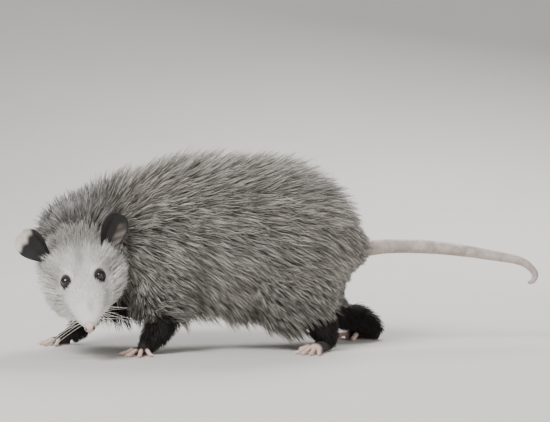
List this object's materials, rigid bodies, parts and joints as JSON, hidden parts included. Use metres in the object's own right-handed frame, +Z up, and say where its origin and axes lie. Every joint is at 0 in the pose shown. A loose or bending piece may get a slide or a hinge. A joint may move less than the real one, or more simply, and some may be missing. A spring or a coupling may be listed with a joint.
{
  "type": "virginia opossum",
  "caption": "Life size opossum standing on its four feet, head turned to its left, shaggy coat raised and bare tail held out behind.",
  "frame": {"origin": "on the ground under the middle of the animal's bounding box", "axes": "+Z up; the animal's chest is towards -X and its tail towards +X; its left side and its face are towards -Y"},
  "size_m": [0.5682, 0.2314, 0.2168],
  "materials": {
    "coat": "long coarse grey coat",
    "face": "short pale hair",
    "leg": "short dark hair",
    "black_skin": "thin bare dark skin",
    "pale_skin": "bare pale skin",
    "eye": "wet gloss"
  },
  "bodies": {
    "root": {"neck": "coat", "chest": "coat", "rump": "coat", "head": "face", "jaw": "face", "nose": "pale_skin", "eye_left": "eye", "eye_right": "eye", "ear_left": "black_skin", "ear_right": "black_skin", "foreleg_left": "leg", "foreleg_right": "leg", "hindleg_left": "leg", "hindleg_right": "leg", "forepaw_left": "pale_skin", "forepaw_right": "pale_skin", "hindpaw_left": "pale_skin", "hindpaw_right": "pale_skin", "tail_base": "pale_skin", "tail_middle": "pale_skin", "tail_tip": "pale_skin"}
  },
  "joints": []
}
